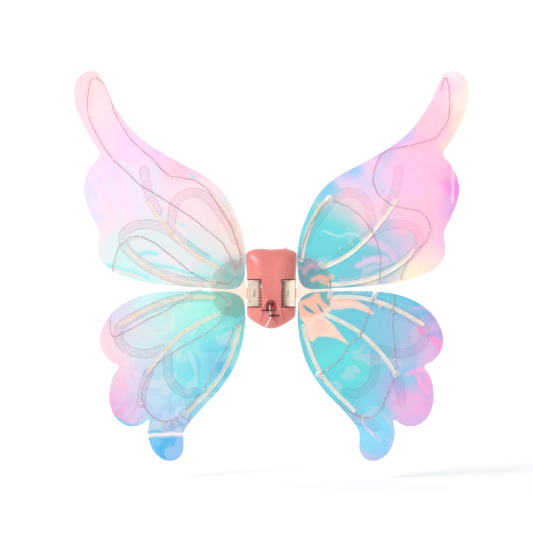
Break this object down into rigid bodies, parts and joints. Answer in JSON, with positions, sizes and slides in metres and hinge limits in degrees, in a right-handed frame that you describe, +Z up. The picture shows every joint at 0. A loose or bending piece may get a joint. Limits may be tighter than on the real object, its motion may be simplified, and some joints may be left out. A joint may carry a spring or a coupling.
{
  "type": "flapping light-up fairy wings",
  "caption": "Wearable fairy wings: a pink motor housing with hinged flapper sockets that swing plug-in iridescent film wings, stiffened by clear stays and strung with a light wire.",
  "frame": {"origin": "centre of the housing's flat back face, at the middle of its height", "axes": "+Z up as worn, -Y out of the wings' outer face, +Y into the wearer's back, +X towards the right wing as seen from behind the wearer"},
  "size_m": [0.6756, 0.1162, 0.672],
  "materials": {
    "coral_plastic": "satin",
    "screw_steel": "bright zinc",
    "cell_wrap": "gloss",
    "circuit_board": "matt",
    "black_plastic": "matt",
    "ivory_plastic": "satin",
    "white_nylon": "matt",
    "brass": "bright",
    "clear_lens": "gloss",
    "red_insulation": "satin",
    "white_insulation": "satin",
    "root_plastic": "clear gloss",
    "right_film": "iridescent gloss",
    "left_film": "iridescent gloss",
    "embossed_film": "embossed",
    "stay_plastic": "gloss",
    "light_wire": "enamelled",
    "bead_epoxy": "gloss",
    "clear_tape": "clear"
  },
  "bodies": {
    "housing": {"front_shell": "coral_plastic", "back_shell": "coral_plastic", "case_screws": "screw_steel", "battery_cells": "cell_wrap", "battery_springs": "screw_steel", "battery_plates": "screw_steel", "circuit_board": "circuit_board", "tact_switch": "black_plastic", "indicator_lens": "clear_lens", "motor_can": "screw_steel", "rack_guide": "white_nylon", "gearbox_plate": "white_nylon", "lower_bearing_plate": "white_nylon", "gear_axles": "screw_steel", "hinge_pins": "screw_steel", "red_lead": "red_insulation", "white_lead": "white_insulation", "cable_tie": "black_plastic"},
    "battery_door": {"battery_door": "coral_plastic", "battery_door_screw": "screw_steel"},
    "power_button": {"power_button": "ivory_plastic"},
    "motor_rotor": {"motor_shaft": "screw_steel", "motor_pinion": "brass"},
    "idler": {"idler_gear": "white_nylon"},
    "crank": {"crank_gear": "white_nylon", "crank_pin": "screw_steel"},
    "rack": {"drive_rack": "white_nylon"},
    "right_flapper": {"right_flapper": "ivory_plastic", "right_contacts": "brass"},
    "left_flapper": {"left_flapper": "ivory_plastic", "left_contacts": "brass"},
    "right_wing": {"right_root_plate": "root_plastic", "right_upper_film": "right_film", "right_lower_film": "right_film", "right_upper_bands": "embossed_film", "right_lower_bands": "embossed_film", "right_leading_stay": "stay_plastic", "right_middle_stay": "stay_plastic", "right_trailing_stay": "stay_plastic", "right_lower_top_stay": "stay_plastic", "right_lower_mid_stay": "stay_plastic", "right_lower_rear_stay": "stay_plastic", "right_light_wires": "light_wire", "right_light_beads": "bead_epoxy", "right_wire_tapes": "clear_tape"},
    "left_wing": {"left_root_plate": "root_plastic", "left_upper_film": "left_film", "left_lower_film": "left_film", "left_upper_bands": "embossed_film", "left_lower_bands": "embossed_film", "left_leading_stay": "stay_plastic", "left_middle_stay": "stay_plastic", "left_trailing_stay": "stay_plastic", "left_lower_top_stay": "stay_plastic", "left_lower_mid_stay": "stay_plastic", "left_lower_rear_stay": "stay_plastic", "left_light_wires": "light_wire", "left_light_beads": "bead_epoxy", "left_wire_tapes": "clear_tape"}
  },
  "joints": [
    {"name": "right_flap", "type": "hinge", "parent": "housing", "child": "right_flapper", "pos_m": [0.0205, -0.025, 0], "axis": [0, 0, -1], "range_deg": [-20, 20]},
    {"name": "left_flap", "type": "hinge", "parent": "housing", "child": "left_flapper", "pos_m": [-0.0205, -0.025, 0], "axis": [0, 0, 1], "range_deg": [-20, 20]},
    {"name": "rack_slide", "type": "slide", "parent": "housing", "child": "rack", "axis": [0, 1, 0], "range_m": [-0.00402, 0.00402]},
    {"name": "crank_spin", "type": "hinge", "parent": "housing", "child": "crank", "pos_m": [0, -0.025, 0], "axis": [0, 0, 1], "continuous": true},
    {"name": "idler_spin", "type": "hinge", "parent": "housing", "child": "idler", "pos_m": [0.0078, -0.01149, 0], "axis": [0, 0, 1], "continuous": true},
    {"name": "motor_spin", "type": "hinge", "parent": "housing", "child": "motor_rotor", "pos_m": [-0.0036, -0.01149, 0], "axis": [0, 0, 1], "continuous": true},
    {"name": "right_wing_pull", "type": "slide", "parent": "right_flapper", "child": "right_wing", "axis": [0.9613, -0.2756, 0], "range_m": [0, 0.03]},
    {"name": "left_wing_pull", "type": "slide", "parent": "left_flapper", "child": "left_wing", "axis": [-0.9613, -0.2756, 0], "range_m": [0, 0.03]},
    {"name": "battery_door_hinge", "type": "hinge", "parent": "housing", "child": "battery_door", "pos_m": [0, -0.0015, -0.003], "axis": [1, 0, 0], "range_deg": [0, 100]},
    {"name": "button_press", "type": "slide", "parent": "housing", "child": "power_button", "axis": [0, 0, -1], "range_m": [0, 0.0015], "stiffness_N_per_m": 400, "springref_m": -0.001}
  ],
  "couplings": [
    {"joint": "left_flap", "follows": "right_flap", "ratio": 1},
    {"joint": "rack_slide", "follows": "right_flap", "m_per_rad": 0.0115},
    {"joint": "idler_spin", "follows": "crank_spin", "ratio": -3.3333},
    {"joint": "motor_spin", "follows": "crank_spin", "ratio": 7.2222}
  ]
}
